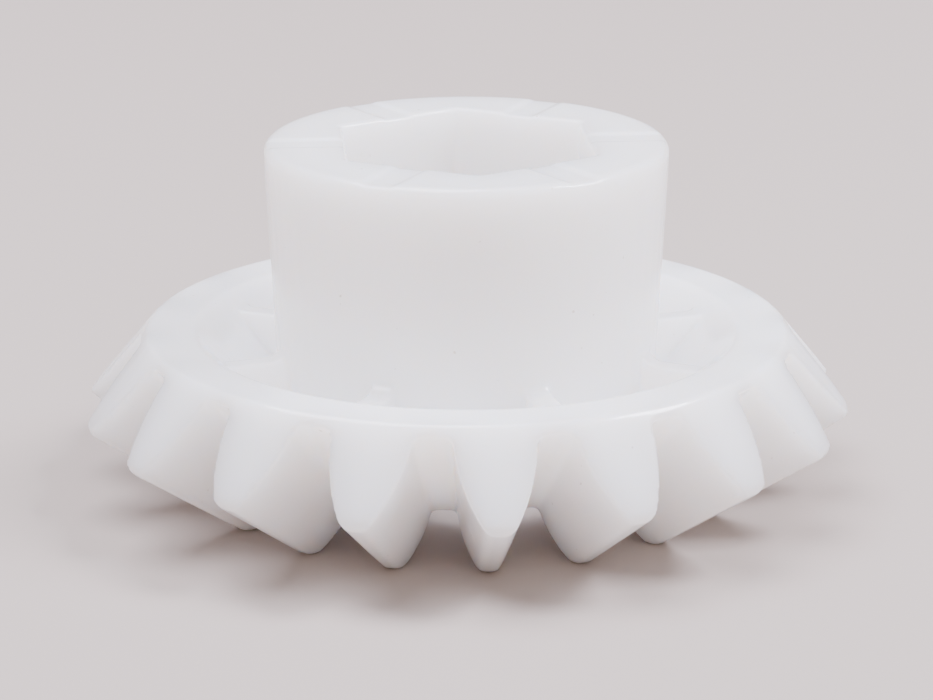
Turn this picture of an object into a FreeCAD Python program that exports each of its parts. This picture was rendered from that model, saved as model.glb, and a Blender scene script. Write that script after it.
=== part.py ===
"""Straight bevel gear with a hexagonal drive socket in its hub, as a parametric FreeCAD document.

The gear is one plastic moulding: 18 teeth on a cone, a rim and web of even thickness behind them, eight
radial ribs in the recess between rim and hub, and a tall hub with a 12 mm hexagonal socket.

Frame, in millimetres: +Z runs along the gear's axis, from the small (toe) end of the teeth to the hub.
Z = 0 is the plane that the tooth tips rest on. One tooth is centred on -Y, and one tooth space on +X.
"""
import FreeCAD, Part
import Sketcher
import math
import os

Vector = FreeCAD.Vector
doc = FreeCAD.newDocument("BevelGear")

# ---------------------------------------------------------------- driving dimensions
DIMENSIONS = [
    ("gear_module", 2.0),          # at the large (heel) end
    ("tooth_count", 18),
    ("mate_tooth_count", 15),      # the gear that it meshes with, on a shaft at 90 degrees
    ("pressure_angle", 20.0),
    ("addendum", 2.11),
    ("dedendum", 2.6),
    ("face_width", 7.65),          # tooth length along the pitch cone
    ("flank_relief", 0.02),        # taken off each flank for backlash
    ("tip_round", 0.8),            # at the heel; it shrinks towards the apex with the tooth
    ("root_round", 0.5),
    ("crest_heel_round", 0.4),     # where a tooth's crest turns over at the heel
    ("crest_toe_round", 0.6),      # and at the toe
    ("rim_height", 8.22),          # the flat top of the rim
    ("rim_inner_radius", 13.57),
    ("rim_outer_round", 0.2),
    ("rim_inner_round", 0.45),
    ("recess_round", 0.8),         # in the bottom of the recess, round the hub
    ("hub_height", 17.68),
    ("hub_base_radius", 9.4),
    ("hub_neck_radius", 9.94),
    ("hub_neck_drop", 2.0),        # the hub flares a little less in its last 2 mm
    ("hub_top_radius", 10.0),
    ("hub_round", 0.45),
    ("socket_across_flats", 12.0),
    ("socket_corner_round", 0.3),
    ("socket_mouth_round", 0.25),
    ("notch_width", 1.7),          # shallow radial notches in the hub's end face
    ("notch_depth", 0.1),
    ("notch_count", 6),
    ("rib_thickness", 1.2),
    ("rib_height", 7.45),
    ("rib_sweep", 0.9),            # where a rib's top sweeps up into the recess wall
    ("rib_hub_round", 1.0),        # and into the hub
    ("rib_turn", 16.0),            # degrees about the axis from the middle of a flat of the socket
    ("rib_count", 8),
    ("overrun", 0.6),              # how far a cut starts outside the solid, or a rib runs on inside it
    ("tip_overrun", 0.06),         # the same for a tooth space at the tooth's crest
    ("space_start", 1.1),          # a tooth space is cut from here, as a share of the cone distance,
    ("space_end", 0.5),            # to here: from beyond the heel to before the toe
]

sheet = doc.addObject("Spreadsheet::Sheet", "Dimensions")
for row, (alias, value) in enumerate(DIMENSIONS, start=1):
    sheet.set(f"A{row}", alias)
    sheet.set(f"B{row}", str(value))
    sheet.setAlias(f"B{row}", alias)
doc.recompute()


def derive(name, rows):
    """A set of worked-out values, each an expression on the sheet or on values already in a set."""
    values = doc.addObject("App::VarSet", name)
    for alias, kind, formula in rows:
        values.addProperty(f"App::Property{kind}", alias, name)
        values.setExpression(alias, formula)
        doc.recompute()
    return values


# ---------------------------------------------------------------- the cones
# Heights here are measured along the axis from the apex, where all the cones of the teeth meet.
derive("Cone", [
    ("pitch_angle", "Angle", "atan(Dimensions.tooth_count / Dimensions.mate_tooth_count)"),
    ("pitch_radius", "Float", "Dimensions.gear_module * Dimensions.tooth_count / 2"),
    ("distance", "Float", "Cone.pitch_radius / sin(Cone.pitch_angle)"),
    ("toe_scale", "Float", "1 - Dimensions.face_width / Cone.distance"),
    ("face_angle", "Angle", "Cone.pitch_angle + atan(Dimensions.addendum / Cone.distance)"),
    ("root_angle", "Angle", "Cone.pitch_angle - atan(Dimensions.dedendum / Cone.distance)"),
    ("crest_radius", "Float", "Cone.pitch_radius + Dimensions.addendum * cos(Cone.pitch_angle)"),
    ("crest_height", "Float",
     "Cone.pitch_radius / tan(Cone.pitch_angle) - Dimensions.addendum * sin(Cone.pitch_angle)"),
    ("root_radius", "Float", "Cone.pitch_radius - Dimensions.dedendum * cos(Cone.pitch_angle)"),
    ("root_height", "Float",
     "Cone.pitch_radius / tan(Cone.pitch_angle) + Dimensions.dedendum * sin(Cone.pitch_angle)"),
    # Rounding the toe end of a crest lifts its lowest point by this much.
    ("toe_lift", "Float",
     "Dimensions.crest_toe_round * (cos((Cone.face_angle + Cone.pitch_angle - 90 deg) / 2)"
     " / sin(45 deg + (Cone.face_angle - Cone.pitch_angle) / 2) - 1)"),
    ("apex_z", "Float", "-Cone.toe_scale * Cone.crest_height - Cone.toe_lift"),
])

# ---------------------------------------------------------------- the tooth form
# Drawn on the plane square to the pitch cone at the heel (Tredgold's virtual spur gear), in polar
# coordinates about the point where that plane meets the axis. Angles run from the tooth's centre line.
# The flank is the arc that has the involute's radius at the pitch point.
derive("Tooth", [
    ("virtual_radius", "Float", "Cone.distance * tan(Cone.pitch_angle)"),
    ("half_pitch", "Angle",
     "atan(tan(180 deg / Dimensions.tooth_count) * cos(Cone.pitch_angle))"),
    ("flank_radius", "Float", "Tooth.virtual_radius * sin(Dimensions.pressure_angle)"),
    ("base_radius", "Float", "Tooth.virtual_radius * cos(Dimensions.pressure_angle)"),
    ("flank_angle", "Angle",
     "Tooth.half_pitch / 2 - Dimensions.flank_relief / Tooth.virtual_radius * 1 rad"
     " - Dimensions.pressure_angle * 1 deg"),
    ("tip_centre_radius", "Float",
     "Tooth.virtual_radius + Dimensions.addendum + Dimensions.tip_overrun - Dimensions.tip_round"),
    ("tip_centre_angle", "Angle",
     "Tooth.flank_angle + acos((Tooth.tip_centre_radius ^ 2 + Tooth.base_radius ^ 2"
     " - (Tooth.flank_radius - Dimensions.tip_round) ^ 2)"
     " / (2 * Tooth.tip_centre_radius * Tooth.base_radius))"),
    ("root_centre_radius", "Float",
     "Tooth.virtual_radius - Dimensions.dedendum + Dimensions.root_round"),
    ("root_centre_angle", "Angle",
     "Tooth.flank_angle + acos((Tooth.root_centre_radius ^ 2 + Tooth.base_radius ^ 2"
     " - (Tooth.flank_radius + Dimensions.root_round) ^ 2)"
     " / (2 * Tooth.root_centre_radius * Tooth.base_radius))"),
])

# ---------------------------------------------------------------- the body and its sketches
body = doc.addObject("PartDesign::Body", "bevel_gear")
body.Label = "bevel_gear"
body.Placement = FreeCAD.Placement()
origin = {item.Role: item for item in body.Origin.OriginFeatures}
CLOSE = 0.01    # mm, for picking an edge out by its place


def number(formula):
    """The present value of an expression, in millimetres or as a bare number."""
    value = body.evalExpression(formula)
    return float(getattr(value, "Value", value))


def closed_sketch(name, plane, corners, arcs=None, offset=None):
    """A closed outline through corners, pairs of expressions that pin each point to the sheet.

    arcs maps an edge's number to the expressions for its centre and radius; other edges are straight.
    """
    sketch = body.newObject("Sketcher::SketchObject", name)
    sketch.AttachmentSupport = [(origin[plane], "")]
    sketch.MapMode = "FlatFace"
    if offset:
        sketch.setExpression("AttachmentOffset", offset)
    points = [Vector(number(x), number(y), 0) for x, y in corners]
    ends = []
    for edge, start in enumerate(points):
        end = points[(edge + 1) % len(points)]
        centre = arcs.get(edge) if arcs else None
        if centre is None:
            sketch.addGeometry(Part.LineSegment(start, end))
            ends.append((1, 2))
            continue
        middle = Vector(number(centre[0]), number(centre[1]), 0)
        turns_left = (start - middle).cross(end - middle).z > 0
        first, last = (start, end) if turns_left else (end, start)
        circle = Part.Circle(middle, Vector(0, 0, 1), number(centre[2]))
        sketch.addGeometry(Part.ArcOfCircle(circle, circle.parameter(first), circle.parameter(last)))
        ends.append((1, 2) if turns_left else (2, 1))
    for edge, (start, end) in enumerate(ends):
        following = (edge + 1) % len(ends)
        sketch.addConstraint(
            Sketcher.Constraint("Coincident", edge, end, following, ends[following][0]))
    for edge, (x, y) in enumerate(corners):
        for axis, formula in (("X", x), ("Y", y)):
            pin = Sketcher.Constraint(f"Distance{axis}", edge, ends[edge][0], number(formula))
            place = sketch.addConstraint(pin)
            sketch.renameConstraint(place, f"corner_{edge}_{axis.lower()}")
            sketch.setExpression(f"Constraints.corner_{edge}_{axis.lower()}", formula)
    for edge, centre in (arcs or {}).items():
        place = sketch.addConstraint(Sketcher.Constraint("Radius", edge, number(centre[2])))
        sketch.renameConstraint(place, f"arc_{edge}_radius")
        sketch.setExpression(f"Constraints.arc_{edge}_radius", centre[2])
    doc.recompute()
    return sketch


def feature(kind, name, **properties):
    """A PartDesign feature; a text that starts with = is bound to the sheet as an expression."""
    made = body.newObject(f"PartDesign::{kind}", name)
    for key, value in properties.items():
        if isinstance(value, str) and value.startswith("="):
            made.setExpression(key, value[1:])
        else:
            setattr(made, key, value)
    doc.recompute()
    return made


def pattern(name, original, count):
    """The original feature repeated evenly about the gear's axis."""
    made = feature("PolarPattern", name, Originals=[original], Axis=(origin["Z_Axis"], [""]),
                   Angle=360, Occurrences=count)
    body.Tip = made
    doc.recompute()
    return made


def round_edges(name, radius, wanted):
    """A fillet on the edges of the present solid for which wanted(edge) is true."""
    base = body.Tip
    edges = [f"Edge{n}" for n, edge in enumerate(base.Shape.Edges, start=1) if wanted(edge)]
    made = feature("Fillet", name, Base=(base, edges), Radius="=" + radius)
    body.Tip = made
    doc.recompute()
    return made


def ring_at(radius, height):
    """Picks the round edge of that radius and height about the gear's axis."""
    size, level = number(radius), number(height)

    def wanted(edge):
        curve = edge.Curve
        return (isinstance(curve, Part.Circle) and abs(curve.Radius - size) < CLOSE
                and abs(curve.Center.z - level) < CLOSE)
    return wanted


# ---------------------------------------------------------------- the turned blank
CREST_HEEL_Z = "Cone.apex_z + Cone.crest_height"
CREST_TOE_Z = "Cone.apex_z + Cone.toe_scale * Cone.crest_height"
WEB_Z = "Cone.apex_z + Cone.toe_scale * Cone.root_height"
CREST_TOE_RADIUS = "Cone.toe_scale * Cone.crest_radius"
RIM_OUTER_RADIUS = (f"Cone.crest_radius - (Dimensions.rim_height - ({CREST_HEEL_Z}))"
                    " / tan(Cone.pitch_angle)")
RECESS_Z = ("Dimensions.rim_height - (Dimensions.rim_inner_radius - Dimensions.hub_base_radius)"
            " / tan(Cone.root_angle)")    # where the recess wall would meet the hub
NECK_Z = "Dimensions.hub_height - Dimensions.hub_neck_drop"

profile = closed_sketch("BlankProfile", "XZ_Plane", [
    ("0", WEB_Z),
    ("Cone.toe_scale * Cone.root_radius", WEB_Z),
    (CREST_TOE_RADIUS, CREST_TOE_Z),
    ("Cone.crest_radius", CREST_HEEL_Z),
    (RIM_OUTER_RADIUS, "Dimensions.rim_height"),
    ("Dimensions.rim_inner_radius", "Dimensions.rim_height"),
    ("Dimensions.hub_base_radius", RECESS_Z),
    ("Dimensions.hub_neck_radius", NECK_Z),
    ("Dimensions.hub_top_radius", "Dimensions.hub_height"),
    ("0", "Dimensions.hub_height"),
])
blank = feature("Revolution", "Blank", Profile=profile, ReferenceAxis=(profile, ["V_Axis"]), Angle=360)
body.Tip = blank
doc.recompute()

round_edges("CrestHeelRound", "Dimensions.crest_heel_round",
            ring_at("Cone.crest_radius", CREST_HEEL_Z))
round_edges("CrestToeRound", "Dimensions.crest_toe_round", ring_at(CREST_TOE_RADIUS, CREST_TOE_Z))
round_edges("RimOuterRound", "Dimensions.rim_outer_round",
            ring_at(RIM_OUTER_RADIUS, "Dimensions.rim_height"))
round_edges("RimInnerRound", "Dimensions.rim_inner_round",
            ring_at("Dimensions.rim_inner_radius", "Dimensions.rim_height"))
round_edges("RecessRound", "Dimensions.recess_round", ring_at("Dimensions.hub_base_radius", RECESS_Z))
round_edges("HubTopRound", "Dimensions.hub_round",
            ring_at("Dimensions.hub_top_radius", "Dimensions.hub_height"))


# ---------------------------------------------------------------- the tooth spaces
def space_point(radius, angle, side):
    """A point of the tooth form, seen from the middle of the space beside it; side is 1 or -1."""
    turn = f"(Tooth.half_pitch - {angle})"
    return f"{side} * {radius} * sin{turn}", f"{radius} * cos{turn}"


def part_way(start, end, share):
    """The point at that share of the way from start to end."""
    return tuple(f"({a} + ({b} - {a}) * {share})" for a, b in zip(start, end))


def half_space(side):
    """One side of a tooth space from root to outside: its corners, and the centres of its arcs."""
    flank = space_point("Tooth.base_radius", "Tooth.flank_angle", side)
    root = space_point("Tooth.root_centre_radius", "Tooth.root_centre_angle", side)
    tip = space_point("Tooth.tip_centre_radius", "Tooth.tip_centre_angle", side)
    root_share = "Tooth.flank_radius / (Tooth.flank_radius + Dimensions.root_round)"
    tip_share = "Tooth.flank_radius / (Tooth.flank_radius - Dimensions.tip_round)"
    corners = [
        space_point("(Tooth.root_centre_radius - Dimensions.root_round)",
                    "Tooth.root_centre_angle", side),
        part_way(flank, root, root_share),
        part_way(flank, tip, tip_share),
        space_point("(Tooth.tip_centre_radius + Dimensions.tip_round)",
                    "Tooth.tip_centre_angle", side),
        space_point("(Tooth.virtual_radius + 2 * Dimensions.addendum)",
                    "Tooth.tip_centre_angle", side),
    ]
    arcs = [(*root, "Dimensions.root_round"), (*flank, "Tooth.flank_radius"),
            (*tip, "Dimensions.tip_round")]
    return corners, arcs


def space_sketch(name, scale):
    """The outline of a tooth space, square to the pitch cone at that share of the cone distance."""
    right, right_arcs = half_space(1)
    left, left_arcs = half_space(-1)
    corners = [(f"{scale} * {x}", f"{scale} * {y}") for x, y in right + left[::-1]]
    arcs = {edge: tuple(f"{scale} * {value}" for value in arc)
            for edge, arc in enumerate(right_arcs)}
    last_arc = len(corners) - 2
    arcs.update({last_arc - edge: tuple(f"{scale} * {value}" for value in arc)
                 for edge, arc in enumerate(left_arcs)})
    height = f"Cone.apex_z + {scale} * Cone.distance / cos(Cone.pitch_angle)"
    offset = f"placement(vector(0; 0; {height}); rotation(-90; 0; -Cone.pitch_angle))"
    return closed_sketch(name, "XY_Plane", corners, arcs, offset)


beyond_heel = space_sketch("SpaceBeyondHeel", "Dimensions.space_start")
before_toe = space_sketch("SpaceBeforeToe", "Dimensions.space_end")
tooth_space = feature("SubtractiveLoft", "ToothSpace", Profile=beyond_heel, Sections=[before_toe],
                      Ruled=True)
body.Tip = tooth_space
pattern("ToothSpaces", tooth_space, "=Dimensions.tooth_count")

# ---------------------------------------------------------------- the ribs in the recess
# The ribs are evenly spaced. A rib's top sweeps up into the recess wall and into the hub in arcs, and its
# outline runs on inside the solid, so that it merges with rim and hub.
RIB_TOP = "Dimensions.rib_height"
RIB_CORNER = ("Dimensions.rim_inner_radius"
              " - (Dimensions.rim_height - Dimensions.rib_height) * tan(Cone.root_angle)")
RIB_TANGENT = "Dimensions.rib_sweep * tan((90 deg - Cone.root_angle) / 2)"
RIB_END_RADIUS = f"{RIB_CORNER} + {RIB_TANGENT} * sin(Cone.root_angle)"
RIB_END_Z = f"{RIB_TOP} + {RIB_TANGENT} * cos(Cone.root_angle)"
RIB_FOOT_Z = f"{RECESS_Z} - Dimensions.overrun"
RIB_HUB_CENTRE = "Dimensions.hub_base_radius + Dimensions.rib_hub_round"
RIB_HUB_Z = f"{RIB_TOP} + Dimensions.rib_hub_round"

rib_profile = closed_sketch(
    "RibProfile", "XZ_Plane",
    [
        ("Dimensions.hub_base_radius - Dimensions.overrun", RIB_HUB_Z),
        ("Dimensions.hub_base_radius - Dimensions.overrun", RIB_FOOT_Z),
        ("Dimensions.hub_base_radius + Dimensions.overrun", RIB_FOOT_Z),
        (f"{RIB_END_RADIUS} + Dimensions.overrun", f"{RIB_END_Z} - Dimensions.overrun"),
        (RIB_END_RADIUS, RIB_END_Z),
        (f"{RIB_CORNER} - {RIB_TANGENT}", RIB_TOP),
        (RIB_HUB_CENTRE, RIB_TOP),
        ("Dimensions.hub_base_radius", RIB_HUB_Z),
    ],
    {4: (f"{RIB_CORNER} - {RIB_TANGENT}", f"{RIB_TOP} + Dimensions.rib_sweep",
         "Dimensions.rib_sweep"),
     6: (RIB_HUB_CENTRE, RIB_HUB_Z, "Dimensions.rib_hub_round")},
    offset="placement(vector(0; 0; 0); rotation(0; Dimensions.rib_turn; 0))")
rib = feature("Pad", "Rib", Profile=rib_profile, Length="=Dimensions.rib_thickness", Midplane=True)
body.Tip = rib
pattern("Ribs", rib, "=Dimensions.rib_count")

# ---------------------------------------------------------------- the hexagonal socket
# Its corners are in line with teeth, the first on -Y.
SOCKET_CORNER = "Dimensions.socket_across_flats / 2 / cos(30 deg)"
socket_outline = closed_sketch("SocketOutline", "XY_Plane", [
    (f"{SOCKET_CORNER} * cos({corner * 60 - 90} deg)", f"{SOCKET_CORNER} * sin({corner * 60 - 90} deg)")
    for corner in range(6)
])
socket = feature("Pocket", "Socket", Profile=socket_outline, Type="ThroughAll", Reversed=True)
body.Tip = socket
doc.recompute()


def socket_corner(edge):
    """True for the six upright edges of the socket."""
    box = edge.BoundBox
    upright = box.ZLength > CLOSE > math.hypot(box.XLength, box.YLength)
    return upright and abs(math.hypot(box.Center.x, box.Center.y) - number(SOCKET_CORNER)) < CLOSE


def socket_mouth(edge):
    """True for the edges round the socket's mouth, at the hub's end and at the toe's."""
    box = edge.BoundBox
    ends = number(WEB_Z), number("Dimensions.hub_height")
    level = box.ZLength < CLOSE and min(abs(box.ZMin - end) for end in ends) < CLOSE
    small = box.DiagonalLength < 2 * number(SOCKET_CORNER)
    return level and small and math.hypot(box.Center.x, box.Center.y) < number(SOCKET_CORNER)


round_edges("SocketCorners", "Dimensions.socket_corner_round", socket_corner)
round_edges("SocketMouths", "Dimensions.socket_mouth_round", socket_mouth)

# ---------------------------------------------------------------- the notches in the hub's end face
NOTCH_START = "Dimensions.socket_across_flats / 2 - Dimensions.overrun"
NOTCH_END = "Dimensions.hub_top_radius + Dimensions.overrun"
NOTCH_SIDE = "Dimensions.notch_width / 2"
notch_outline = closed_sketch(
    "NotchOutline", "XY_Plane",
    [(NOTCH_START, f"-{NOTCH_SIDE}"), (NOTCH_END, f"-{NOTCH_SIDE}"),
     (NOTCH_END, NOTCH_SIDE), (NOTCH_START, NOTCH_SIDE)],
    offset="placement(vector(0; 0; Dimensions.hub_height); rotation(0; 0; 0))")
notch = feature("Pocket", "Notch", Profile=notch_outline, Length="=Dimensions.notch_depth")
body.Tip = notch
pattern("Notches", notch, "=Dimensions.notch_count")

# ---------------------------------------------------------------- checks and files
for thing in doc.Objects:
    if "Invalid" in thing.State or "Error" in thing.State:
        raise RuntimeError(f"{thing.Name} failed: {thing.State}")
if body.Shape.isNull() or not body.Shape.isValid() or len(body.Shape.Solids) != 1:
    raise RuntimeError("the gear isn't one valid solid")

os.makedirs("parts", exist_ok=True)
body.Shape.exportStep(f"parts/{body.Label}.step")
print(body.Label, round(body.Shape.Volume, 1), "mm3")
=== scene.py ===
"""The looks of a straight bevel gear, moulded in one piece from natural white translucent plastic.

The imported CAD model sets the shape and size. One piece stands for its one node: the same moulding with
the small soft edges and the faint unevenness that an injection mould leaves. Lengths are in metres.
"""
import math

import bpy
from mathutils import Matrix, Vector


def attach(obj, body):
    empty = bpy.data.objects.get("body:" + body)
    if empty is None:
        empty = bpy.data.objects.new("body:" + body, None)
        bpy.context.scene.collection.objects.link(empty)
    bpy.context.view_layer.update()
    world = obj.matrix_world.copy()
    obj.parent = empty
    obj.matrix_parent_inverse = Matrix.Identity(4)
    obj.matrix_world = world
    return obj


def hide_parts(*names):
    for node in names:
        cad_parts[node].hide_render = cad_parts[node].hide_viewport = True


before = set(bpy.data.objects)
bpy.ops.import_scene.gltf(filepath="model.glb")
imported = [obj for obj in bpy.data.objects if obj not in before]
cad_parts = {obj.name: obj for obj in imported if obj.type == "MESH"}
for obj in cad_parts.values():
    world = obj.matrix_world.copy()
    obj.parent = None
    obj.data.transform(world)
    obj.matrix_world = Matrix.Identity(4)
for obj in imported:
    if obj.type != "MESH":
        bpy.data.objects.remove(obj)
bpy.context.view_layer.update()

MM = 0.001
NODE = "bevel_gear"
SLOT = "natural_plastic"

# ---------------------------------------------------------------- the moulding
VOXEL = 0.1 * MM              # fine enough for the 0.25 mm rounds at the socket's mouth
SOFTENING = 12                # smoothing passes, which take the sharpness off the edges
FACE_LIMIT = 190_000          # triangles kept, most of them where the surface curves


def link_copy(name, source):
    """A new object with its own copy of the source's mesh."""
    piece = bpy.data.objects.new(name, source.data.copy())
    bpy.context.collection.objects.link(piece)
    return piece


def apply_modifier(piece, kind, **settings):
    """Adds a modifier, sets it up and puts its result into the piece's mesh."""
    modifier = piece.modifiers.new(kind.title(), kind)
    for key, value in settings.items():
        setattr(modifier, key, value)
    shape = bpy.data.meshes.new_from_object(
        piece.evaluated_get(bpy.context.evaluated_depsgraph_get()))
    piece.modifiers.clear()
    piece.data = shape


def moulding():
    """The gear as moulded, from a copy of the CAD solid: fewer faces, but the fine shape's shading."""
    fine = link_copy("fine_shape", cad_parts[NODE])
    apply_modifier(fine, "REMESH", mode="VOXEL", voxel_size=VOXEL)
    apply_modifier(fine, "SMOOTH", factor=0.5, iterations=SOFTENING)
    fine.data.shade_smooth()
    piece = link_copy("gear_moulding", fine)
    triangles = 2 * len(piece.data.polygons)
    apply_modifier(piece, "DECIMATE", ratio=min(1.0, FACE_LIMIT / triangles))
    piece.data.shade_smooth()
    apply_modifier(piece, "DATA_TRANSFER", object=fine, use_loop_data=True,
                   data_types_loops={"CUSTOM_NORMAL"}, loop_mapping="POLYINTERP_NEAREST")
    bpy.data.objects.remove(fine)
    return piece


# ---------------------------------------------------------------- the material
SCATTER_DEPTH = 9.0 * MM            # how far red light goes in
SCATTER_RADIUS = (1.0, 0.8, 0.65)   # and green and blue as a share of that
CLOUD_COLOURS = (0.99, 0.972, 0.968, 1), (0.998, 0.985, 0.983, 1)
SPECK_COLOUR = (0.75, 0.72, 0.68, 1)
ROUGHNESS = 0.08, 0.18
# Sizes of the patterns, in cycles to the metre.
CLOUDS, GLOSS_PATCHES, SKIN, SPECKS = 160, 420, 900, 3400


def natural_plastic():
    """Unpigmented white plastic: light goes some millimetres into it, and the skin is glossy."""
    material = bpy.data.materials.new(SLOT)
    material.use_nodes = True
    nodes, links = material.node_tree.nodes, material.node_tree.links
    shader = nodes["Principled BSDF"]
    shader.inputs["Subsurface Weight"].default_value = 1.0
    shader.inputs["Subsurface Radius"].default_value = SCATTER_RADIUS
    shader.inputs["Subsurface Scale"].default_value = SCATTER_DEPTH
    shader.inputs["IOR"].default_value = 1.48
    place = nodes.new("ShaderNodeTexCoord")

    def noise(scale, detail):
        """A cloudy pattern fixed to the gear."""
        cloud = nodes.new("ShaderNodeTexNoise")
        cloud.inputs["Scale"].default_value = scale
        cloud.inputs["Detail"].default_value = detail
        links.new(place.outputs["Object"], cloud.inputs["Vector"])
        return cloud.outputs["Fac"]

    def ramp(source, low, high):
        """Runs from the low to the high stop, each a position and a colour, along the source's value."""
        band = nodes.new("ShaderNodeValToRGB")
        for element, stop in zip(band.color_ramp.elements, (low, high)):
            element.position, element.color = stop
        links.new(source, band.inputs["Fac"])
        return band.outputs["Color"]

    # Faint clouds from the melt's flow, and a few dust specks.
    clouds = ramp(noise(CLOUDS, 3), (0.3, CLOUD_COLOURS[0]), (0.7, CLOUD_COLOURS[1]))
    specks = ramp(noise(SPECKS, 0), (0.1, SPECK_COLOUR), (0.14, (1, 1, 1, 1)))
    colour = nodes.new("ShaderNodeMix")
    colour.data_type, colour.blend_type = "RGBA", "MULTIPLY"
    colour.inputs["Factor"].default_value = 1.0
    links.new(clouds, colour.inputs["A"])
    links.new(specks, colour.inputs["B"])
    links.new(colour.outputs["Result"], shader.inputs["Base Color"])

    gloss = nodes.new("ShaderNodeMapRange")
    gloss.inputs["To Min"].default_value, gloss.inputs["To Max"].default_value = ROUGHNESS
    links.new(noise(GLOSS_PATCHES, 3), gloss.inputs["Value"])
    links.new(gloss.outputs["Result"], shader.inputs["Roughness"])

    bump = nodes.new("ShaderNodeBump")
    bump.inputs["Strength"].default_value = 0.1
    bump.inputs["Distance"].default_value = 0.02 * MM
    links.new(noise(SKIN, 2), bump.inputs["Height"])
    links.new(bump.outputs["Normal"], shader.inputs["Normal"])
    return material


# ---------------------------------------------------------------- the stage
FLOOR_HALF_WIDTH = 1.5
FLOOR_COLOUR = (0.38, 0.33, 0.3, 1)
WARM_LOW = (1.0, 0.74, 0.58, 1)
COOL_HIGH = (0.9, 0.89, 1.0, 1)
COOL_LAMP = (0.89, 0.88, 1.0)
WARM_LAMP = (1.0, 0.9, 0.84)


def floor():
    """A plain pale floor under the gear."""
    mesh = bpy.data.meshes.new("floor")
    half = FLOOR_HALF_WIDTH
    mesh.from_pydata([(-half, -half, 0), (half, -half, 0), (half, half, 0), (-half, half, 0)], [],
                     [(0, 1, 2, 3)])
    plane = bpy.data.objects.new("floor", mesh)
    bpy.context.collection.objects.link(plane)
    material = bpy.data.materials.new("pale_floor")
    material.use_nodes = True
    shader = material.node_tree.nodes["Principled BSDF"]
    shader.inputs["Base Color"].default_value = FLOOR_COLOUR
    shader.inputs["Roughness"].default_value = 0.85
    mesh.materials.append(material)


def area_light(name, place, target, size, power, colour):
    """A rectangular soft light that faces the target."""
    lamp = bpy.data.lights.new(name, "AREA")
    lamp.shape = "RECTANGLE"
    lamp.size, lamp.size_y = size
    lamp.energy = power
    lamp.color = colour
    light = bpy.data.objects.new(name, lamp)
    light.location = place
    light.rotation_euler = (Vector(target) - Vector(place)).to_track_quat("-Z", "Y").to_euler()
    bpy.context.collection.objects.link(light)


def studio():
    """Cool light from the right and overhead and a weak warm one in front; warm low down all round."""
    world = bpy.data.worlds.new("studio")
    world.use_nodes = True
    nodes, links = world.node_tree.nodes, world.node_tree.links
    place = nodes.new("ShaderNodeTexCoord")
    parts = nodes.new("ShaderNodeSeparateXYZ")
    sky = nodes.new("ShaderNodeValToRGB")
    low, high = sky.color_ramp.elements
    low.position, low.color = 0.0, WARM_LOW
    high.position, high.color = 0.7, COOL_HIGH
    links.new(place.outputs["Generated"], parts.inputs["Vector"])
    links.new(parts.outputs["Z"], sky.inputs["Fac"])
    background = nodes["Background"]
    links.new(sky.outputs["Color"], background.inputs["Color"])
    background.inputs["Strength"].default_value = 0.95
    bpy.context.scene.world = world
    target = (0, 0, 0.01)
    area_light("key", (0.26, 0.0, 0.33), target, (0.14, 0.14), 3.2, COOL_LAMP)
    area_light("overhead", (-0.1, 0.06, 0.4), target, (0.3, 0.3), 4.2, COOL_LAMP)
    area_light("fill", (0.1, -0.36, 0.26), target, (0.3, 0.24), 0.5, WARM_LAMP)


CAMERA_DISTANCE = 159.8 * MM
CAMERA_ELEVATION = math.radians(17.41)
CAMERA_AZIMUTH = math.radians(4.61)     # to the left of the gear's front, seen from above
CAMERA_TARGET = Vector((0, 0, 6.8 * MM))
CAMERA_LENS = 122.5                     # in millimetres, on a 36 mm wide sensor


def camera():
    """The viewpoint: a little above the gear, tele lens."""
    lens = bpy.data.cameras.new("camera")
    lens.lens, lens.sensor_width = CAMERA_LENS, 36
    lens.clip_start, lens.clip_end = 0.01, 10
    viewer = bpy.data.objects.new("camera", lens)
    back = Vector((-math.sin(CAMERA_AZIMUTH) * math.cos(CAMERA_ELEVATION),
                   -math.cos(CAMERA_AZIMUTH) * math.cos(CAMERA_ELEVATION),
                   math.sin(CAMERA_ELEVATION)))
    viewer.location = CAMERA_TARGET + back * CAMERA_DISTANCE
    viewer.rotation_euler = (-back).to_track_quat("-Z", "Y").to_euler()
    bpy.context.collection.objects.link(viewer)
    bpy.context.scene.camera = viewer


gear = moulding()
gear.data.materials.clear()
gear.data.materials.append(natural_plastic())
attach(gear, "root")
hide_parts(NODE)
floor()
studio()
camera()
